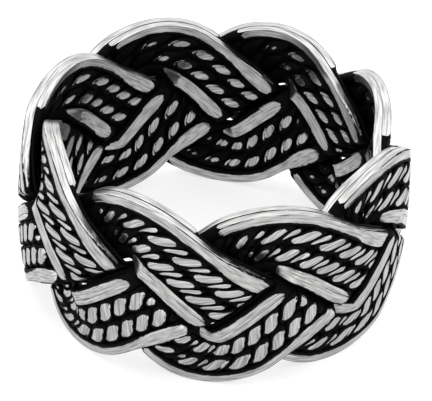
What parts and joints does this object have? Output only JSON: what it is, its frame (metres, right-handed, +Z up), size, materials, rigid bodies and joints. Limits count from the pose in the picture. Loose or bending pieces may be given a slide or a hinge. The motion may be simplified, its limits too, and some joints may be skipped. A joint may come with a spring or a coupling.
{
  "type": "braided band ring",
  "caption": "Openwork finger ring plaited from flat strips of plain rails and twisted rope wire, in blackened silver, lying on its side.",
  "frame": {"origin": "centre of the ring, level with the surface it lies on", "axes": "+Z up along the ring's axis, -Y towards the viewer, +X to the viewer's right"},
  "size_m": [0.0238, 0.0238, 0.012],
  "materials": {
    "oxidised_silver": "blackened silver, polished bright on the rails and on the crowns of the rope wires"
  },
  "bodies": {
    "root": {"strip_1": "oxidised_silver", "strip_2": "oxidised_silver", "strip_3": "oxidised_silver"}
  },
  "joints": []
}
